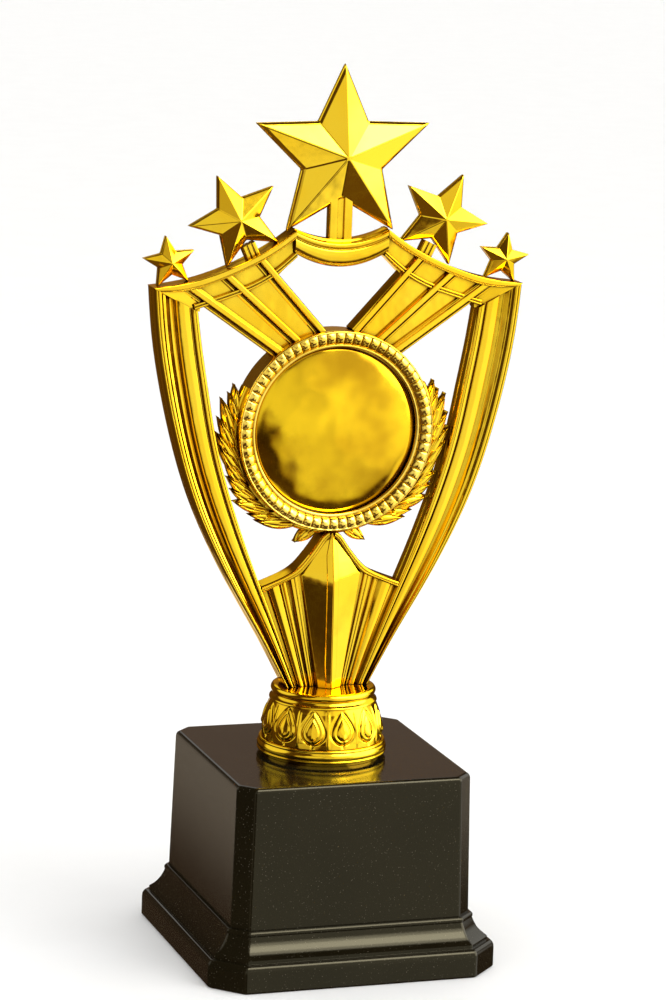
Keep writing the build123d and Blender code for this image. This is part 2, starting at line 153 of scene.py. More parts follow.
def add_painted_groove_shade(nodes, tint, dark, *reaches):
    """Paint shade into the grooves. Each reach: distance in metres, openness at full and at none, strength.
    """
    for distance, low_open, high_open, share in reaches:
        open_sky = nodes.add("ShaderNodeAmbientOcclusion", samples=6)
        open_sky.inputs["Distance"].default_value = distance
        shade_share = nodes.step(open_sky.outputs["AO"], low_open, high_open, share, 0.0)
        tint = nodes.mix(shade_share, tint, colour(*dark))
    return tint


def add_painted_sheen(nodes, place, tint, pale):
    """A painted sheen, a paler colour at low angles, on the plinth's walls: none on the top face, and weaker
    lower down.
    """
    facing = nodes.add("ShaderNodeLayerWeight")
    facing.inputs["Blend"].default_value = 0.5
    height = nodes.add("ShaderNodeSeparateXYZ")
    nodes.plug(place, height.inputs[0])
    climb = nodes.step(height.outputs["Z"], (SEAM_HEIGHT - 2.5) * MM, (PLINTH_TOP - 1.6) * MM)
    below_top = nodes.step(height.outputs["Z"], (PLINTH_TOP - 0.2) * MM, (PLINTH_TOP - 0.8) * MM)
    sheen_mask = nodes.math("MULTIPLY", nodes.step(facing.outputs["Facing"], 0.35, 0.9), below_top)
    return nodes.mix(nodes.math("MULTIPLY", sheen_mask, climb), tint, colour(*pale))


def surface(name, low, high, metallic, rough, coat=0.0, grain=(60, 0.00002), waves=(6, 0.0),
            specks=0.0, groove_shade=None, painted_sheen=None, sheen=(1.0, 1.0, 1.0), gloss=0.5):
    """A material whose colour, roughness and relief vary with noise.

    Grain and waves: cycles per metre and depth in metres. Painted shade darkens the grooves;
    a painted sheen, a paler colour, shows where the surface turns away from the view.
    """
    material = bpy.data.materials.new(name)
    material.use_nodes = True
    nodes = Nodes(material.node_tree)
    place = nodes.add("ShaderNodeTexCoord").outputs["Object"]
    clouds = nodes.noise(place, CLOUD_SCALE, 3)
    fine = nodes.noise(place, grain[0], 4, 0.6)
    tint = nodes.mix(nodes.step(clouds, 0.35, 0.65), colour(*low), colour(*high))
    if specks:
        tint = add_specks(nodes, place, tint, specks)
    # Painted shade: grooves and corners darken by how little open sky they see.
    if groove_shade:
        tint = add_painted_groove_shade(nodes, tint, *groove_shade)
    # Painted sheen: a paler colour where the view meets the surface at a low angle.
    if painted_sheen:
        tint = add_painted_sheen(nodes, place, tint, painted_sheen)
    relief = nodes.bump(nodes.noise(place, waves[0], 2), waves[1])
    shade = nodes.add("ShaderNodeBsdfPrincipled")
    nodes.plug(tint, shade.inputs["Base Color"])
    nodes.plug(nodes.step(fine, 0.3, 0.7, rough[0], rough[1]), shade.inputs["Roughness"])
    nodes.plug(nodes.bump(fine, grain[1], under=relief), shade.inputs["Normal"])
    shade.inputs["Metallic"].default_value = metallic
    shade.inputs["Specular Tint"].default_value = colour(*sheen)
    shade.inputs["Specular IOR Level"].default_value = gloss
    shade.inputs["Coat Weight"].default_value = coat
    shade.inputs["Coat Roughness"].default_value = COAT_ROUGHNESS
    out = nodes.add("ShaderNodeOutputMaterial")
    nodes.plug(shade.outputs[0], out.inputs[0])
    materials[name] = material


# The crevice settings of the three golds paint shade into their grooves and corners.
surface("gold_plated", (1.0, 0.61, 0.014), (1.0, 0.67, 0.030), 1.0, (0.07, 0.13), coat=0.10,
        grain=(900, 0.000004), waves=(140, 0.00014), sheen=(1.0, 0.8, 0.35),
        groove_shade=((0.09, 0.03, 0.004), (0.0022, 0.30, 0.80, 0.75), (0.0006, 0.25, 0.8, 0.9)))
surface("gold_medal", (0.50, 0.27, 0.005), (1.0, 0.64, 0.014), 1.0, (0.10, 0.16), coat=0.08,
        grain=(700, 0.000004), waves=(58, 0.0010), sheen=(1.0, 0.8, 0.35),
        groove_shade=((0.09, 0.03, 0.004), (0.0012, 0.3, 0.8, 0.9)))
surface("gold_beaded", (1.0, 0.66, 0.06), (1.0, 0.72, 0.12), 1.0, (0.10, 0.18), coat=0.10,
        grain=(900, 0.000004), waves=(140, 0.00014), sheen=(1.0, 0.85, 0.5),
        groove_shade=((0.16, 0.07, 0.008), (0.0007, 0.25, 0.7, 0.8)))
# The plinth's edge-on colour is a painted sheen: paler where its walls turn away from the view.
surface("black_plinth", (0.0065, 0.0052, 0.0022), (0.0085, 0.0068, 0.003), 0.0, (0.05, 0.12),
        grain=(2400, 0.000010), waves=(40, 0.00002), specks=0.14, painted_sheen=(0.125, 0.108, 0.082),
        sheen=(1.0, 0.90, 0.60), gloss=0.29)
surface("board", (0.16, 0.10, 0.05), (0.22, 0.15, 0.08), 0.0, (0.7, 0.9), grain=(500, 0.00005))
surface("felt", (0.010, 0.03, 0.014), (0.016, 0.045, 0.02), 0.0, (0.9, 1.0), grain=(1500, 0.00020))
surface("ballast", (0.30, 0.29, 0.27), (0.42, 0.41, 0.38), 0.0, (0.7, 0.95), grain=(300, 0.00020))
surface("steel", (0.52, 0.52, 0.50), (0.62, 0.61, 0.58), 1.0, (0.25, 0.4), grain=(900, 0.00001))
surface("paper_floor", (0.905, 0.905, 0.90), (0.915, 0.915, 0.91), 0.0, (0.8, 0.9),
        grain=(400, 0.00002))


# ---------------------------------------------------------------- shape helpers (millimetres)
def spline(points, count):
    """Points at even steps along a smooth curve through the given points."""
    points = np.array(points, float)
    knots = np.concatenate(([0], np.cumsum(np.linalg.norm(np.diff(points, axis=0), axis=1))))
    step = np.diff(knots)
    size = len(points)
    system, wanted = np.eye(size), np.zeros_like(points)
    for i in range(1, size - 1):
        system[i, i - 1:i + 2] = step[i - 1], 2 * (step[i - 1] + step[i]), step[i]
        slope_before = (points[i] - points[i - 1]) / step[i - 1]
        slope_after = (points[i + 1] - points[i]) / step[i]
        wanted[i] = 6 * (slope_after - slope_before)
    bend = np.linalg.solve(system, wanted)
    at = np.linspace(0, knots[-1], count)
    part = np.clip(np.searchsorted(knots, at) - 1, 0, size - 2)
    width = step[part][:, None]
    left, right = (knots[part + 1] - at)[:, None], (at - knots[part])[:, None]
    return ((bend[part] * left ** 3 + bend[part + 1] * right ** 3) / (6 * width)
            + (points[part] / width - bend[part] * width / 6) * left
            + (points[part + 1] / width - bend[part + 1] * width / 6) * right)


def rounded(corners, steps=3, closed=False):
    """A polyline with its corners rounded; each corner is (across, depth, radius)."""
    corners = [tuple(c) + (0.0,) * (3 - len(c)) for c in corners]
    out = []
    for i, (a, d, radius) in enumerate(corners):
        here = np.array((a, d))
        inner = closed or 0 < i < len(corners) - 1
        if not inner or radius <= 0:
            out.append(here)
            continue
        before = np.array(corners[i - 1][:2]) - here
        after = np.array(corners[(i + 1) % len(corners)][:2]) - here
        start = here + before * min(radius / np.linalg.norm(before), 0.45)
        end = here + after * min(radius / np.linalg.norm(after), 0.45)
        for t in np.linspace(0, 1, steps + 1):
            out.append((1 - t) ** 2 * start + 2 * t * (1 - t) * here + t * t * end)
    return np.array(out)


def grid_solid(grid, loop=False):
    """Skin a grid of sections (stations, points, 3) whose points run round a closed outline.

    The sections run round to the first again with loop, and end in flat caps without it.
    """
    stations, size = grid.shape[:2]
    faces = []
    for i in range(stations if loop else stations - 1):
        nxt = (i + 1) % stations
        for j in range(size):
            k = (j + 1) % size
            faces.append((i * size + j, i * size + k, nxt * size + k, nxt * size + j))
    if not loop:
        faces.append(tuple(range(size)))
        faces.append(tuple(range((stations - 1) * size, stations * size)))
    return grid.reshape(-1, 3), faces


def ribbon(edge_a, edge_b, profile, stations=48, reach=None):
    """A moulding between two edges in the x-z plane. Profile: (share or mm across, depth, radius)."""
    a = spline(edge_a, stations) if len(edge_a) > 2 else np.linspace(edge_a[0], edge_a[1], stations)
    b = spline(edge_b, stations) if len(edge_b) > 2 else np.linspace(edge_b[0], edge_b[1], stations)
    cut = rounded(profile)
    share = cut[:, 0] / (reach or cut[:, 0].max())
    grid = np.zeros((stations, len(cut), 3))
    grid[:, :, 0] = a[:, :1] + (b - a)[:, :1] * share
    grid[:, :, 2] = a[:, 1:] + (b - a)[:, 1:] * share
    grid[:, :, 1] = -cut[:, 1]
    return grid_solid(grid)


def plank(start, end, width, profile, stations=2):
    """A straight moulding along a centre line, drawn across from its right-hand side."""
    start, end = np.array(start, float), np.array(end, float)
    along = (end - start) / np.linalg.norm(end - start)
    side = np.array((along[1], -along[0])) * width / 2
    return ribbon([start + side, end + side], [start - side, end - side], profile, stations)


def slab(outline, depth):
    """A flat plate from an outline in the x-z plane; depth is one number or one per corner."""
    outline = np.array(outline, float)
    count = len(outline)
    depth = np.broadcast_to(np.array(depth, float), (count,))
    back = np.column_stack((outline[:, 0], np.zeros(count), outline[:, 1]))
    front = np.column_stack((outline[:, 0], -depth, outline[:, 1]))
    faces = [tuple(range(count)), tuple(range(count, 2 * count))]
    faces += [(i, (i + 1) % count, count + (i + 1) % count, count + i) for i in range(count)]
    return np.vstack((back, front)), faces


def arc(radius, middle_height, turns):
    """Points round a circle in the x-z plane, at the given turns from straight up."""
    return [(radius * math.sin(t), middle_height + radius * math.cos(t)) for t in turns]


def join(*shapes):
    """Several shapes as one."""
    points, faces, base = [], [], 0
    for part_points, part_faces in shapes:
        points.append(part_points)
        faces += [tuple(base + i for i in face) for face in part_faces]
        base += len(part_points)
    return np.vstack(points), faces


WELD_DISTANCE = 0.000002


def build(name, shape, material, body, flip=(1, 1), crease=38.0, edges=None):
    """Make one piece from a shape in millimetres and put it in place of its CAD node.
    """
    points, faces = shape
    mesh = bpy.data.meshes.new(f"look_{name}")
    points = points * (flip[0], flip[1], 1) * MM
    mesh.from_pydata(points.tolist(), [], faces)
    work = bmesh.new()
    work.from_mesh(mesh)
    bmesh.ops.remove_doubles(work, verts=work.verts, dist=WELD_DISTANCE)
    if edges:
        edges(work)
    bmesh.ops.recalc_face_normals(work, faces=work.faces)
    work.to_mesh(mesh)
    work.free()
    for face in mesh.polygons:
        face.use_smooth = True
    mesh.set_sharp_from_angle(angle=math.radians(crease))
    mesh.materials.append(materials[material])
    piece = bpy.data.objects.new(f"look_{name}", mesh)
    scene.collection.objects.link(piece)
    even = piece.modifiers.new("even_shading", "WEIGHTED_NORMAL")
    even.keep_sharp = True
    even.weight = 80
    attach(piece, body)
    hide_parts(name)


def build_pair(name, shape, material="gold_plated", **options):
    """The front piece and the back piece of one member of the figure."""
    for end, turn in (("front", 1), ("back", -1)):
        build(f"{name}_{end}", shape, material, "figure", (1, turn), **options)


def build_four(name, shape, **options):
    """Front and back pieces on both sides; the shape is the one on the +X side."""
    for side, turn in (("left", -1), ("right", 1)):
        for end, depth_turn in (("front", 1), ("back", -1)):
            build(f"{name}_{side}_{end}", shape, "gold_plated", "figure", (turn, depth_turn), **options)


# ---------------------------------------------------------------- arms, rails, swag
ARM_OUTER = [SHOULDER, (44.6, 150.5), (42.8, 139.5), (39.8, 126.5), (34.9, 111.0), (29.5, 99.0),
             (24.0, 88.8), (16.7, 76.5), (10.2, 64.6)]
ARM_INNER = [(34.6, 155.4), (33.3, 146.5), (31.5, 136.5), (29.2, 124.5), (25.1, 110.2), (20.9, 98.4),
             (17.1, 88.8), (12.3, 76.5), (7.85, 64.6)]
RAIL_UPPER = [SHOULDER, (37.5, 162.4), (29.5, 164.7), (21.5, 168.1), (15.3, 171.6), RAIL_PEAK]
RAIL_THICKNESS = 1.9
# The arm's profile runs across it from 0 to this reach. The seam is the parting line at its edge.
ARM_REACH = 10.5
SEAM = [(0, 0.05, 0), (-0.09, 0.07, 0.05), (-0.09, 0.24, 0.08), (0.0, 0.34, 0.05)]
SEAM_END = [(ARM_REACH - across, depth, radius) for across, depth, radius in reversed(SEAM)]


def make_arms():
    profile = [(0, 0, 0), *SEAM, (0.02, 2.55, 0.3), (0.4, 3.2, 0.3), (0.78, 3.2, 0.06),
               (0.90, 2.95, 0.05), (1.04, 3.2, 0.06), (1.55, 3.18, 0.25), (2.2, 2.42, 0.12),
               (2.75, 2.25, 0.12), (3.7, 1.35, 0.3), (4.75, 1.15, 0.1), (5.4, 2.72, 0.3),
               (6.85, 2.88, 0.9), (8.25, 2.72, 0.2), (8.4, 2.0, 0.1), (8.8, 2.0, 0.1),
               (8.95, 2.9, 0.15), (9.55, 2.95, 0.06), (9.65, 2.80, 0.05), (9.75, 2.95, 0.06),
               (10.25, 2.85, 0.25), (ARM_REACH, 2.2, 0.3), *SEAM_END, (ARM_REACH, 0, 0)]
    build_four("arm", ribbon(ARM_OUTER, ARM_INNER, profile, 72, reach=ARM_REACH))


def make_rails():
    lower = [(x, z - RAIL_THICKNESS) for x, z in RAIL_UPPER]
    lower[0] = (SHOULDER[0] - 0.65 * RAIL_THICKNESS, SHOULDER[1] - 0.5 * RAIL_THICKNESS)
    profile = [(0, 0, 0), (0.0, 0.3, 0.05), (0.0, 2.9, 0.15), (0.2, 3.2, 0.15), (1.25, 3.2, 0.05),
               (1.38, 2.95, 0.05), (1.52, 2.95, 0.05), (1.62, 3.1, 0.05), (1.85, 2.95, 0.1),
               (RAIL_THICKNESS, 2.5, 0.1), (RAIL_THICKNESS, 0, 0)]
    build_four("top_rail", ribbon(RAIL_UPPER, lower, profile, 40))


def bow(half, ends, middle, count=9):
    """A shallow hanging curve between two ends at the same height."""
    return [(x, middle + (ends - middle) * (x / half) ** 2) for x in np.linspace(-half, half, count)]


def make_swag():
    profile = [(0, 0, 0), (0, 1.5, 0.2), (0.7, 2.0, 0.2), (0.85, 2.75, 0.15), (1.1, 3.0, 0.2),
               (1.9, 3.0, 0.25), (2.1, 2.45, 0.06), (2.35, 2.45, 0.06), (2.7, 2.8, 0.3), (4.1, 3.0, 0.9),
               (5.5, 2.65, 0.2), (5.62, 2.35, 0.05), (5.78, 2.35, 0.05), (5.9, 2.55, 0.06),
               (6.3, 2.1, 0.2), (6.4, 0, 0)]
    build_pair("swag", ribbon(bow(11.5, 174.7, 172.0), bow(11.5, 168.9, 165.5), profile, 48))


# ---------------------------------------------------------------- braces
# Each rib runs from its top to its foot at the ring. The cross rail crosses all three.
RIBS = [((37.4, 161.4), (14.2, 145.2)), ((28.1, 163.6), (9.6, 147.3)), ((20.6, 168.0), (4.2, 150.0))]
CROSS_LOW = [(35.4, 155.9), (30.0, 157.6), (25.1, 159.2), (17.8, 162.5), (10.8, 168.0)]


def make_braces():
    ring = arc(RING_RADIUS - 0.2, RING_HEIGHT, np.radians((37.5, 28, 19, 11)))
    panel = slab([(34.6, 158.6), (29.2, 154.3), (24.3, 151.1), (19.3, 147.9), *ring, (3.9, 151.4),
                  (15.2, 163.6), (10.8, 168.0), (11.2, 172.6), (15.3, 169.8), (21.5, 166.4),
                  (29.5, 163.0), (37.5, 160.7), (36.0, 160.0)], 1.4)
    corner = slab([(43.9, 160.3), (37.0, 160.9), (33.9, 158.6), (34.0, 155.4), (34.7, 155.4)],
                  (2.7, 1.6, 1.5, 1.5, 1.5))
    ridge = [(0, 0, 0), (0, 1.6, 0.1), (0.18, 1.85, 0.06), (0.45, 1.85, 0.06), (0.6, 1.45, 0.06),
             (0.78, 1.45, 0.06), (1.2, 2.85, 0.14), (2.35, 2.85, 0.14), (2.6, 2.3, 0.1),
             (2.75, 1.4, 0.05), (2.8, 0, 0)]
    double = ridge[:-3] + [(2.55, 2.45, 0.05), (2.75, 2.45, 0.05), (2.85, 2.15, 0.05),
                           (3.0, 2.15, 0.05), (3.1, 1.4, 0.05), (3.15, 0, 0)]
    parts = [panel, corner]
    for (top, foot), width, shape in zip(RIBS, (3.15, 2.8, 2.8), (double, ridge, ridge)):
        parts.append(plank(foot, top, width, shape))
    bead = [(0, 0, 0), (0, 2.2, 0.1), (0.2, 2.4, 0.1), (0.5, 2.4, 0.08), (0.62, 2.1, 0.05),
            (0.75, 2.1, 0.05), (0.87, 2.4, 0.08), (1.2, 2.4, 0.1), (1.35, 2.1, 0.1), (1.35, 0, 0)]
    parts.append(ribbon(CROSS_LOW, [(x + 0.25, z + 1.3) for x, z in CROSS_LOW], bead, 32))
    build_four("brace", join(*parts))


# ---------------------------------------------------------------- medallion
RING_RIBS = 64
SEAT_DEPTH = 1.0
DOME_BACK = 1.02


def make_ring():
    """A round moulding with ribs across it, drawn as pairs of radius and depth from the rim inwards."""
    radii = rounded([(RING_RADIUS, 0), (RING_RADIUS, 3.2, 0.2), (24.0, 3.7, 0.2), (23.75, 3.95, 0.15),
                     (23.55, 3.75, 0.1), (23.2, 3.9, 0.15), (22.6, 4.1, 0.3), (22.0, 4.0, 0.3),
                     (21.4, 3.7, 0.3), (21.0, 3.3, 0.1), (20.8, 2.95, 0.05), (20.65, 3.15, 0.12),
                     (20.25, 3.15, 0.15), (20.03, 2.9, 0.1), (20.0, SEAT_DEPTH)], 3)
    count = RING_RIBS * 12
    turns = np.linspace(0, 2 * math.pi, count, endpoint=False)
    wave = np.abs(np.cos(RING_RIBS / 2 * turns)) ** 0.35
    grid = np.zeros((count, len(radii) + 1, 3))
    for j, (radius, depth) in enumerate(radii):
        share = math.sin(math.pi * np.clip((radius - 20.75) / 2.9, 0, 1)) ** 0.5
        lift = share * (wave * 0.55 - 0.36) if 1.2 < depth else 0
        grid[:, j] = np.column_stack((radius * np.sin(turns), -(depth + lift) * np.ones(count),
                                      RING_HEIGHT + radius * np.cos(turns)))
    grid[:, -1] = (0, -SEAT_DEPTH, RING_HEIGHT)
    build_pair("bead_ring", grid_solid(grid, loop=True), "gold_beaded", crease=60)


def make_dome():
    """A pressed dome over the ring's seat: an upright rim, then a curve to a nearly flat middle."""
    radii = np.concatenate(([DOME_RADIUS, DOME_RADIUS], np.linspace(DOME_RADIUS - 0.25, 0.02, 44)))
    depth = 1.8 + 2.6 * (1 - (radii / DOME_RADIUS) ** 2.2) ** 0.8
    depth[0] = DOME_BACK
    depth[1] = 1.75
    turns = np.linspace(0, 2 * math.pi, 160, endpoint=False)
    grid = np.zeros((len(turns), len(radii) + 1, 3))
    for j, (radius, d) in enumerate(zip(radii, depth)):
        grid[:, j] = np.column_stack((radius * np.sin(turns), np.full(len(turns), -d),
                                      RING_HEIGHT + radius * np.cos(turns)))
    grid[:, -1] = (0, -DOME_BACK, RING_HEIGHT)
    build_pair("medal_dome", grid_solid(grid, loop=True), "gold_medal", crease=60)


# ---------------------------------------------------------------- laurels
# Each leaf: its root, its tip and its width.
LEAVES = [((23.4, 128.5), (24.8, 138.0), 3.0), ((22.9, 126.0), (26.0, 136.0), 2.6),
          ((23.4, 122.5), (27.9, 134.8), 3.4), ((22.8, 119.5), (28.6, 130.3), 3.0),
          ((22.6, 117.0), (29.0, 126.8), 3.4), ((21.6, 114.8), (28.4, 123.7), 3.2),
          ((20.4, 112.6), (26.6, 119.4), 3.4), ((19.2, 110.8), (26.0, 115.9), 3.2),
          ((17.6, 109.2), (25.1, 112.9), 3.2), ((15.6, 107.6), (24.3, 109.9), 3.2),
          ((12.4, 105.8), (20.5, 106.6), 2.8), ((8.6, 104.4), (18.7, 105.0), 3.4),
          ((3.4, 103.4), (8.9, 99.6), 3.2)]


def leaf(root, tip, width, lift):
    """One veined leaf: a lens outline with a raised midrib and side veins."""
    root, tip = np.array(root, float), np.array(tip, float)
    root = root - 0.12 * (tip - root)
    along = tip - root
    side = np.array((along[1], -along[0])) / np.linalg.norm(along)
    across = np.concatenate(([-1.0], np.linspace(-1, 1, 17), [1.0]))
    stations = 26
    grid = np.zeros((stations, len(across), 3))
    for i, u in enumerate(np.linspace(0.0, 1, stations)):
        half = width / 2 * max(math.sin(math.pi * (0.12 + 0.88 * u) ** 1.15), 0.015)
        for j, v in enumerate(across):
            edge = j in (0, len(across) - 1)
            x, z = root + along * u + side * half * v
            veins = 0.16 * math.cos(2 * math.pi * (2.5 * abs(v) + 0.7 * u)) * (1 - v ** 4)
            ridge = 0.3 * max(0.0, 1 - abs(v) * 5)
            swell = 0.75 * (1 - v * v) * math.sin(math.pi * min(0.5, 0.5 * (1.3 - u)))
            grid[i, j] = (x, 0.0 if edge else -(lift + swell + ridge + veins), z)
    return grid_solid(grid)


def make_laurels():
    """Leaves that overlap in turn, on a stem that follows the ring."""
    parts = [leaf(*shape, 0.75 + 0.22 * (i % 2)) for i, shape in enumerate(LEAVES)]
    turns = np.radians(np.linspace(64, 178, 30))
    outer = arc(RING_RADIUS + 1.0, RING_HEIGHT, turns)
    inner = arc(RING_RADIUS - 0.8, RING_HEIGHT, turns)
    stem = [(0, 0, 0), (0, 1.1, 0.2), (0.4, 1.6, 0.3), (1.8, 1.6, 0), (1.8, 0, 0)]
    parts.append(ribbon(outer, inner, stem, 40))
    build_four("laurel", join(*parts), crease=75)


# ---------------------------------------------------------------- fan
def make_fan():
    flutes = [(0.0, 0, 0), (0.0, 2.5, 0), (0.03, 2.1, 0.02), (0.10, 2.1, 0.02), (0.125, 2.75, 0.02),
              (0.18, 2.75, 0.01), (0.19, 2.55, 0.01), (0.21, 2.55, 0.01), (0.22, 2.75, 0.01),
              (0.28, 2.75, 0.02), (0.31, 1.7, 0.02), (0.37, 1.6, 0.02), (0.41, 2.3, 0.02),
              (0.46, 2.35, 0.02), (0.49, 1.85, 0.02), (0.52, 1.85, 0.02), (0.60, 2.6, 0.05),
              (0.74, 2.75, 0.08), (0.84, 2.35, 0.04), (0.88, 1.6, 0.02), (1.0, 1.5, 0), (1.0, 0, 0)]
    panel_line = np.linspace((7.4, 92.4), (2.9, 64.6), 24)
    arm_line = spline([(17.0, 88.6), (12.3, 76.5), (7.85, 64.6)], 24)
    right = ribbon(panel_line, arm_line, flutes, 24, reach=1.0)
    # The centre panel: height at its sides and at its ridge, half width, depth at both.
    sections = [(64.6, 64.6, 2.9, 4.3, 5.6), (91.8, 89.9, 7.4, 2.9, 4.8), (101.6, 101.9, 0.8, 2.4, 2.8)]
    grid = []
    for low, high in zip(sections[:-1], sections[1:]):
        for t in np.linspace(0, 1, 12):
            side_z, mid_z, half, edge, ridge = (a + (b - a) * t for a, b in zip(low, high))
            strip = min(1.35, half * 0.35)
            corner = half - 0.25 * min(1, half / 2)
            at_strip = edge + (ridge - edge) * (1 - strip / half)
            half_row = [(strip + 0.12, at_strip), (strip, at_strip + 0.22), (0.16, ridge + 0.22),
                        (0.05, ridge + 0.1)]
            row = [(-half, side_z, 0), (-half, side_z, edge - 0.25), (-corner, side_z, edge)]
            for x, d in half_row:
                row.append((-x, mid_z + (side_z - mid_z) * x / half, d))
            for x, d in reversed(half_row):
                row.append((x, mid_z + (side_z - mid_z) * x / half, d))
            row += [(corner, side_z, edge), (half, side_z, edge - 0.25), (half, side_z, 0)]
            grid.append([(x, -d, z) for x, z, d in row])
    panel = grid_solid(np.array(grid))
    crown_line = [(17.2, 89.6), (13.2, 91.1), (10.4, 92.4), (8.6, 93.6), (6.8, 95.4), (5.1, 97.5),
                  (3.5, 99.7), (2.0, 101.6), (0.9, 102.3)]
    crown_foot = [(17.0, 88.0), (13.2, 89.6), (10.0, 90.9), (7.9, 92.0), (6.0, 94.0), (4.3, 96.1),
                  (2.8, 98.3), (1.4, 100.2), (0.5, 101.0)]
    bead = [(0, 0, 0), (0, 2.4, 0.2), (0.3, 3.05, 0.15), (0.7, 3.1, 0.06), (0.8, 2.85, 0.05),
            (0.95, 2.85, 0.05), (1.05, 3.0, 0.06), (1.5, 2.9, 0.1), (1.6, 2.3, 0.1), (1.6, 0, 0)]
    crown = ribbon(crown_line, crown_foot, bead, 40)
    mirror = [(points * (-1, 1, 1), faces) for points, faces in (right, crown)]
    build_pair("fan", join(right, crown, *mirror, panel), crease=32)


# ---------------------------------------------------------------- stars and lugs
# A star's notches lie at this share of its radius, and the whole star is a little flattened.
NOTCH_SHARE = 0.466
FLATTENING = 0.96
BIG_RADIUS = 22.5
BIG_MIDDLE = (0, TROPHY_TOP - FLATTENING * BIG_RADIUS)
MEDIUM_MIDDLE = (25.3, 176.7)
MEDIUM_TURN = 25.4
SMALL_MIDDLE = (41.3, 166.9)


def inset(outline, distance):
    """Move every side of a closed outline inwards by a distance."""
    outline = np.array(outline, float)
    ahead = np.roll(outline, -1, axis=0) - outline
    normal = np.column_stack((ahead[:, 1], -ahead[:, 0])) / np.linalg.norm(ahead, axis=1)[:, None]
    centre = outline.mean(axis=0)
    normal *= np.sign(((centre - outline) * normal).sum(axis=1))[:, None]
    out = []
    for i in range(len(outline)):
        n0, n1 = normal[i - 1], normal[i]
        out.append(outline[i] + (n0 + n1) * distance / (1 + n0 @ n1))
    return np.array(out)


def star(middle, radius, turn, rise, edge, wall, arm_lift=0.0):
    """The front half of a faceted star with a bevelled rim; arm_lift raises its two side points."""
    outline = []
    for corner in range(10):
        reach = radius if corner % 2 == 0 else radius * NOTCH_SHARE
        angle = math.radians(turn + 36 * corner)
        raised = arm_lift if corner in (2, 8) else 0.0
        x = middle[0] + reach * math.sin(angle)
        z = middle[1] + FLATTENING * reach * math.cos(angle) + raised
        outline.append((x, z))
    rings = [(outline, 0.0), (outline, wall), (inset(outline, edge), wall + 0.9 * edge)]
    points = [(x, -d, z) for ring, d in rings for x, z in ring]
    points += [(middle[0], -1.2 - rise, middle[1]), (middle[0], 0, middle[1])]
    around = [(i, (i + 1) % 10) for i in range(10)]
    faces = [(base + a, base + b, base + 10 + b, base + 10 + a) for base in (0, 10) for a, b in around]
    faces += [(20 + a, 20 + b, 30) for a, b in around]
    faces += [(a, b, 31) for a, b in around]
    return np.array(points), faces


def soften(amount):
    """Round the outer edges of a shape, leaving the ones on the joint plane sharp."""
    def edit(work):
        chosen = [e for e in work.edges
                  if len(e.link_faces) == 2 and e.calc_face_angle(0) > 0.05
                  and any(abs(v.co.y) > 1e-6 for v in e.verts)]
        bmesh.ops.bevel(work, geom=chosen, offset=amount * MM, segments=2, profile=0.6, affect="EDGES",
                        clamp_overlap=True)
    return edit


def make_stars():
    big = star(BIG_MIDDLE, BIG_RADIUS, 0, rise=4.2, edge=0.75, wall=0.6, arm_lift=1.1)
    medium = star(MEDIUM_MIDDLE, 11.8, MEDIUM_TURN, rise=2.8, edge=0.42, wall=0.8)
    small = star(SMALL_MIDDLE, 6.5, 9.3, rise=1.8, edge=0.26, wall=0.9)
    build_pair("big_star", big, crease=180, edges=soften(0.32))
    build_four("medium_star", medium, crease=180, edges=soften(0.2))
    build_four("small_star", small, crease=180, edges=soften(0.13))
    post = [(0, 0, 0), (0, 1.1, 0.15), (0.2, 1.3, 0.1), (1.9, 1.3, 0.08), (2.1, 0.8, 0.05),
            (3.5, 0.8, 0.05), (3.7, 1.3, 0.08), (5.5, 1.3, 0.1), (5.7, 1.1, 0.15), (5.7, 0, 0)]
    build_pair("big_star_post", plank((-0.1, 182.0), (-0.1, 171.4), 5.7, post))
    lug = [(0, 0, 0), (0, 1.2, 0.1), (0.2, 1.4, 0.1), (0.85, 1.4, 0.05), (0.95, 1.0, 0.05),
           (1.25, 1.0, 0.05), (1.35, 1.4, 0.05), (2.05, 1.4, 0.05), (2.15, 1.0, 0.05), (2.45, 1.0, 0.05),
           (2.55, 1.4, 0.05), (3.2, 1.4, 0.1), (3.4, 1.2, 0.1), (3.4, 0, 0)]
    lean = np.array((math.sin(math.radians(MEDIUM_TURN)), math.cos(math.radians(MEDIUM_TURN))))
    build_four("medium_star_post", plank(MEDIUM_MIDDLE - 6.4 * lean, MEDIUM_MIDDLE - 10.9 * lean, 3.4, lug))


# ---------------------------------------------------------------- collar
COLLAR_LEAVES = 12
DRUM_LOW = 51.7
DRUM_HEIGHT = 9.2


def teardrop(height, low, high, wide):
    """Half the width of a leaf: rounded at its low end, widest below halfway, pointed at the top."""
    share = np.clip((height - low) / (high - low), 0, 1)
    return wide * np.sin(math.pi * share ** 0.75) ** 0.8 * (1 - 0.25 * share)


def drum_relief(turn, height):
    """Pointed leaves with a smaller leaf inside each and a stalk between. Height runs 0 to 1."""
    pitch = 2 * math.pi / COLLAR_LEAVES
    place = ((turn / pitch + 0.417) % 1.0 - 0.5) * 2
    outer = teardrop(height, 0.10, 0.98, 0.86) - abs(place)
    inner = teardrop(height, 0.22, 0.80, 0.50) - abs(place)
    rim = np.exp(-(outer / 0.10) ** 2)
    groove = np.exp(-(inner / 0.07) ** 2) * (height < 0.82)
    body = np.clip(outer / 0.45, 0, 1) ** 0.7
    heart = np.clip(inner / 0.4, 0, 1) ** 0.8
    bulb = np.exp(-((height - 0.30) / 0.09) ** 2 - (place / 0.16) ** 2)
    stalk = np.exp(-((1 - abs(place)) / 0.10) ** 2) * (outer < 0)
    return 0.26 * body + 0.20 * heart - 0.30 * rim - 0.20 * groove + 0.20 * bulb + 0.16 * stalk - 0.10


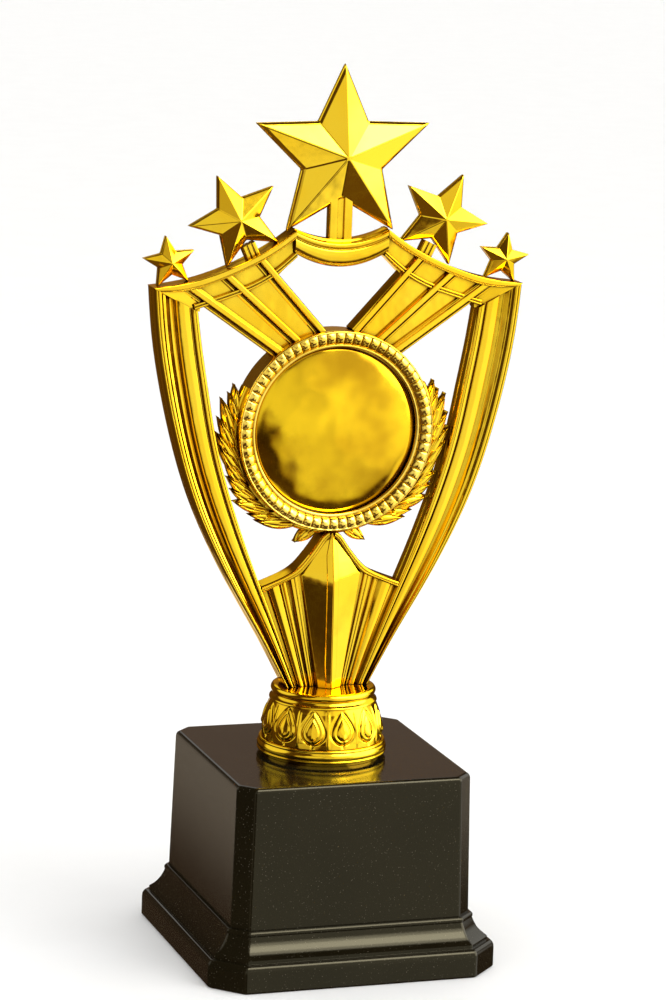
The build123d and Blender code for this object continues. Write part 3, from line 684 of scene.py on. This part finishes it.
def make_collar():
    underside = PLINTH_TOP + 0.05
    head = rounded([(BOLT_HOLE, COLLAR_TOP), (11.7, COLLAR_TOP, 0.2), (12.4, 64.25, 0.4), (12.7, 63.5, 0.7),
                    (12.45, 62.8, 0.4), (12.0, 62.6, 0.1), (12.0, 62.4, 0.1), (12.3, 61.9, 0.3),
                    (12.9, 61.45, 0.1), (13.0, 61.1, 0.1), (12.7, 60.95, 0.05)])
    drum = []
    for t in np.linspace(1, 0, 96):
        radius = 12.6 + 1.85 * (1 - t) + 0.65 * math.sin(math.pi * t)
        drum.append((radius, DRUM_LOW + DRUM_HEIGHT * t))
    foot = rounded([(14.3, 51.6), (15.0, 51.6, 0.15), (15.25, 51.25, 0.2), (15.1, 50.95, 0.15),
                    (15.5, 50.4, 0.4), (15.6, 49.7, 0.4), (15.35, 49.2, 0.1), (15.35, 49.05, 0.1),
                    (15.55, 48.95, 0.1), (15.5, 48.6, 0.1), (14.2, 48.5, 0.1), (14.2, underside),
                    (BOLT_HOLE, underside)])
    outline = np.vstack((head, drum, foot))
    count = 600
    turns = np.linspace(0, 2 * math.pi, count, endpoint=False)
    grid = np.zeros((count, len(outline), 3))
    for j, (radius, z) in enumerate(outline):
        lift = np.zeros(count)
        if len(head) + 1 <= j < len(head) + len(drum) - 1:
            height = (z - DRUM_LOW) / DRUM_HEIGHT
            lift = drum_relief(turns, height) * min(1, 8 * height, 8 * (1 - height))
        grid[:, j] = np.column_stack(((radius + lift) * np.sin(turns), -(radius + lift) * np.cos(turns),
                                      np.full(count, z)))
    build("collar", grid_solid(grid, loop=True), "gold_plated", "figure", crease=50)


# ---------------------------------------------------------------- plinth
BOX_DRAFT = 0.7
BOX_CUT = 3.6
EDGE_ROUND = 1.1
FOOT_REACH = 8.7


def cut_square(half, cut, z, fillet=0.45):
    """A level square with its corners cut off."""
    corners = [(half, -half + cut), (half, half - cut), (half - cut, half), (-half + cut, half),
               (-half, half - cut), (-half, -half + cut), (-half + cut, -half), (half - cut, -half)]
    loop = rounded([(x, y, fillet) for x, y in corners], 3, closed=True)
    return np.column_stack((loop, np.full(len(loop), z)))


def make_box():
    """The drafted walls, the rounded top edge, the top with its bolt hole, and the hollow inside."""
    rings = [cut_square(BOX_HALF, BOX_CUT, SEAM_HEIGHT)]
    for z in (SEAM_HEIGHT + 0.4, 30.0, PLINTH_TOP - EDGE_ROUND - 0.05):
        climb = (z - SEAM_HEIGHT) / (PLINTH_TOP - SEAM_HEIGHT)
        rings.append(cut_square(BOX_HALF - BOX_DRAFT * climb, BOX_CUT, z))
    for angle in np.radians((15, 30, 45, 60, 75, 90)):
        inwards = 1 - math.cos(angle)
        rings.append(cut_square(BOX_HALF - BOX_DRAFT - EDGE_ROUND * inwards - 0.02, BOX_CUT - 0.45 * inwards,
                                PLINTH_TOP - EDGE_ROUND + EDGE_ROUND * math.sin(angle)))
    rings.append(cut_square(27.6, 3.0, PLINTH_TOP))
    angles = np.arctan2(rings[0][:, 1], rings[0][:, 0])
    for z in (PLINTH_TOP, 45.2):
        rings.append(np.column_stack((BOLT_HOLE * np.cos(angles), BOLT_HOLE * np.sin(angles),
                                      np.full(len(angles), z))))
    rings += [cut_square(26.0, 3.0, 45.2), cut_square(26.4, 3.0, 44.8), cut_square(27.3, 3.2, SEAM_HEIGHT)]
    box = grid_solid(np.array(rings).swapaxes(0, 1), loop=True)
    build("plinth_box", box, "black_plinth", "base", crease=50)


def make_foot():
    """The foot's outline runs from the floor over the step and the cove to the seam, then inside."""
    top = SEAM_HEIGHT - 0.02
    start, middle, end = np.array((7.1, 7.6)), np.array((4.7, 9.0)), np.array((3.6, 12.2))
    cove = [(1 - t) ** 2 * start + 2 * t * (1 - t) * middle + t * t * end for t in np.linspace(0, 1, 10)]
    step = rounded([(0, 0), (8.3, 0, 0), (FOOT_REACH, 0.35, 0.2), (FOOT_REACH, 5.7, 0.9), (8.0, 6.7, 0.5),
                    (7.1, 6.75, 0.1), (7.1, 7.6)])
    lip = rounded([(3.6, 12.2), (3.75, 12.5, 0.2), (3.75, 13.0, 0.2), (3.3, top, 0.2), (-0.2, top, 0)])
    inside = [(-2.0, top), (-2.0, 11.1), (0, 11.1)]
    outline = np.vstack((step, cove, lip, inside))
    rings = [cut_square(FOOT_HALF - FOOT_REACH + out, 2 + 0.586 * max(out, 0), z, 0.5) for out, z in outline]
    foot = grid_solid(np.array(rings).swapaxes(0, 1), loop=True)
    build("plinth_foot", foot, "black_plinth", "base", crease=40)


# ---------------------------------------------------------------- light, floor and camera
def toward(azimuth, elevation):
    """The direction at an azimuth measured from the front (-Y) to the right, and an elevation."""
    azimuth, elevation = math.radians(azimuth), math.radians(elevation)
    return (math.sin(azimuth) * math.cos(elevation), -math.cos(azimuth) * math.cos(elevation),
            math.sin(elevation))


# The studio that the polished parts mirror. Panels glow: azimuth, elevation, the angles from the
# middle at which the light starts to fade and is gone, brightness. Shades dim what is behind them
# and have the share of light that they let through in place of the brightness.
PANELS = [(22, -13, 17, 26, 0.95), (38, -4, 16, 26, 1.3), (66, 27, 26, 36, 5.0), (34, 48, 15, 23, 6.0),
          (76, -24, 19, 30, 1.35), (-29, 12, 14, 22, 0.85), (-8, 50, 16, 24, 0.8), (66, -56, 7, 13, 0.75),
          (-48, 0, 14, 22, 0.55), (10, -69, 4, 8, 0.8), (172, 34, 12, 18, 0.85), (165, -20, 9, 16, 1.0),
          (-115, 24, 20, 32, 0.9), (116, 28, 14, 24, 1.4), (2, 8, 14, 22, 0.85), (20, 14, 12, 22, 1.2),
          (161, 11.5, 8, 15, 0.30), (-48, -52, 36, 52, 0.12), (-166, 0, 16, 26, 0.10),
          (34, 47, 8, 15, 12.0), (-16, -44, 5, 9, 0.95), (88, 0, 14, 22, 1.1)]
SHADES = [(-15, -24, 12, 20, 0.7)]
DIMMEST = 0.07
DAYLIGHT = 1.08


def soft_disc(nodes, direction, azimuth, elevation, inner, outer, outside, inside):
    """A value that goes smoothly from outside to inside across the rim of a disc in the sky."""
    dot = nodes.add("ShaderNodeVectorMath", operation="DOT_PRODUCT")
    nodes.plug(direction, dot.inputs[0])
    dot.inputs[1].default_value = toward(azimuth, elevation)
    edge_out, edge_in = math.cos(math.radians(outer)), math.cos(math.radians(inner))
    return nodes.step(dot.outputs["Value"], edge_out, edge_in, outside, inside)


def make_world():
    """Even daylight on everything, and the painted studio for mirror rays only. Dim parts are warm."""
    world = bpy.data.worlds.new("studio")
    world.use_nodes = True
    nodes = Nodes(world.node_tree)
    direction = nodes.add("ShaderNodeTexCoord").outputs["Generated"]
    total = DIMMEST
    for *disc, level in PANELS:
        total = nodes.math("MAXIMUM", total, soft_disc(nodes, direction, *disc, 0.0, level))
    for *disc, level in SHADES:
        total = nodes.math("MULTIPLY", total, soft_disc(nodes, direction, *disc, 1.0, level))
    glossy = nodes.add("ShaderNodeLightPath").outputs["Is Glossy Ray"]
    strength = nodes.add("ShaderNodeMix", data_type="FLOAT")
    nodes.plug(glossy, strength.inputs[0])
    strength.inputs[2].default_value = DAYLIGHT
    nodes.plug(total, strength.inputs[3])
    back = nodes.add("ShaderNodeBackground")
    warmth = nodes.mix(nodes.step(strength.outputs[0], 0.1, 0.7), colour(1.0, 0.58, 0.34),
                       colour(1.0, 1.0, 0.98))
    nodes.plug(nodes.mix(glossy, colour(1.0, 0.995, 0.985), warmth), back.inputs["Color"])
    nodes.plug(strength.outputs[0], back.inputs["Strength"])
    nodes.plug(back.outputs[0], nodes.add("ShaderNodeOutputWorld").inputs[0])
    scene.world = world


KEY_AZIMUTH, KEY_ELEVATION = 48, 52
KEY_DISTANCE, KEY_SIZE, KEY_POWER = 0.9, 0.7, 2.5
CAMERA_AZIMUTH, CAMERA_ELEVATION, CAMERA_ROLL = -19.0, 11.5, 2.04
CAMERA_DISTANCE, CAMERA_LENS = 903.4, 136.8
AIM_ASIDE, AIM_HEIGHT = 0.76, 109.4


def make_floor():
    mesh = bpy.data.meshes.new("floor")
    work = bmesh.new()
    steps = np.linspace(-4, 4, 9)
    grid = [[work.verts.new((x, y, 0)) for x in steps] for y in steps]
    for low, high in zip(grid[:-1], grid[1:]):
        for i in range(len(steps) - 1):
            work.faces.new((low[i], low[i + 1], high[i + 1], high[i]))
    work.to_mesh(mesh)
    work.free()
    mesh.materials.append(materials["paper_floor"])
    floor = bpy.data.objects.new("floor", mesh)
    scene.collection.objects.link(floor)
    floor.visible_glossy = False


def make_key_light():
    """A weak soft light from the front right, above the trophy. Mirror rays don't see it."""
    light = bpy.data.lights.new("key", "AREA")
    light.shape = "DISK"
    light.size = KEY_SIZE
    light.energy = KEY_POWER
    lamp = bpy.data.objects.new("key", light)
    way = Vector(toward(KEY_AZIMUTH, KEY_ELEVATION))
    lamp.matrix_world = (Matrix.Translation(way * KEY_DISTANCE)
                         @ way.to_track_quat("Z", "Y").to_matrix().to_4x4())
    lamp.visible_glossy = False
    scene.collection.objects.link(lamp)


def make_camera():
    """The view of the photo: from the front left, a little from above, and rolled a little."""
    azimuth, roll = math.radians(CAMERA_AZIMUTH), math.radians(CAMERA_ROLL)
    back = Vector(toward(CAMERA_AZIMUTH, CAMERA_ELEVATION))
    right = Vector((math.cos(azimuth), math.sin(azimuth), 0))
    up = back.cross(right)
    cam_x = math.cos(roll) * right + math.sin(roll) * up
    cam_y = back.cross(cam_x)
    target = Vector((AIM_ASIDE * MM * math.cos(azimuth), AIM_ASIDE * MM * math.sin(azimuth),
                     AIM_HEIGHT * MM))
    data = bpy.data.cameras.new("camera")
    data.lens = CAMERA_LENS
    data.sensor_width = 36.0
    data.clip_start, data.clip_end = 0.01, 50
    camera = bpy.data.objects.new("camera", data)
    scene.collection.objects.link(camera)
    camera.matrix_world = (Matrix.Translation(target + back * CAMERA_DISTANCE * MM)
                           @ Matrix((cam_x, cam_y, back)).transposed().to_4x4())
    scene.camera = camera


def dress_hidden_parts():
    """Give the pieces kept from the frame the finish of their slot."""
    for name, finish in (("bottom_cover", "board"), ("felt_sheet", "felt"), ("ballast_block", "ballast"),
                         ("foot_screws", "steel"), ("clamp_washer", "steel"), ("clamp_bolt", "steel"),
                         ("clamp_nut", "steel")):
        node = bpy.data.objects[name]
        node.data.materials.clear()
        node.data.materials.append(materials[finish])


for make in (make_arms, make_rails, make_swag, make_braces, make_ring, make_dome, make_laurels, make_fan,
             make_stars, make_collar, make_box, make_foot, make_world, make_floor, make_key_light,
             make_camera, dress_hidden_parts):
    make()
scene.view_settings.view_transform = "Standard"
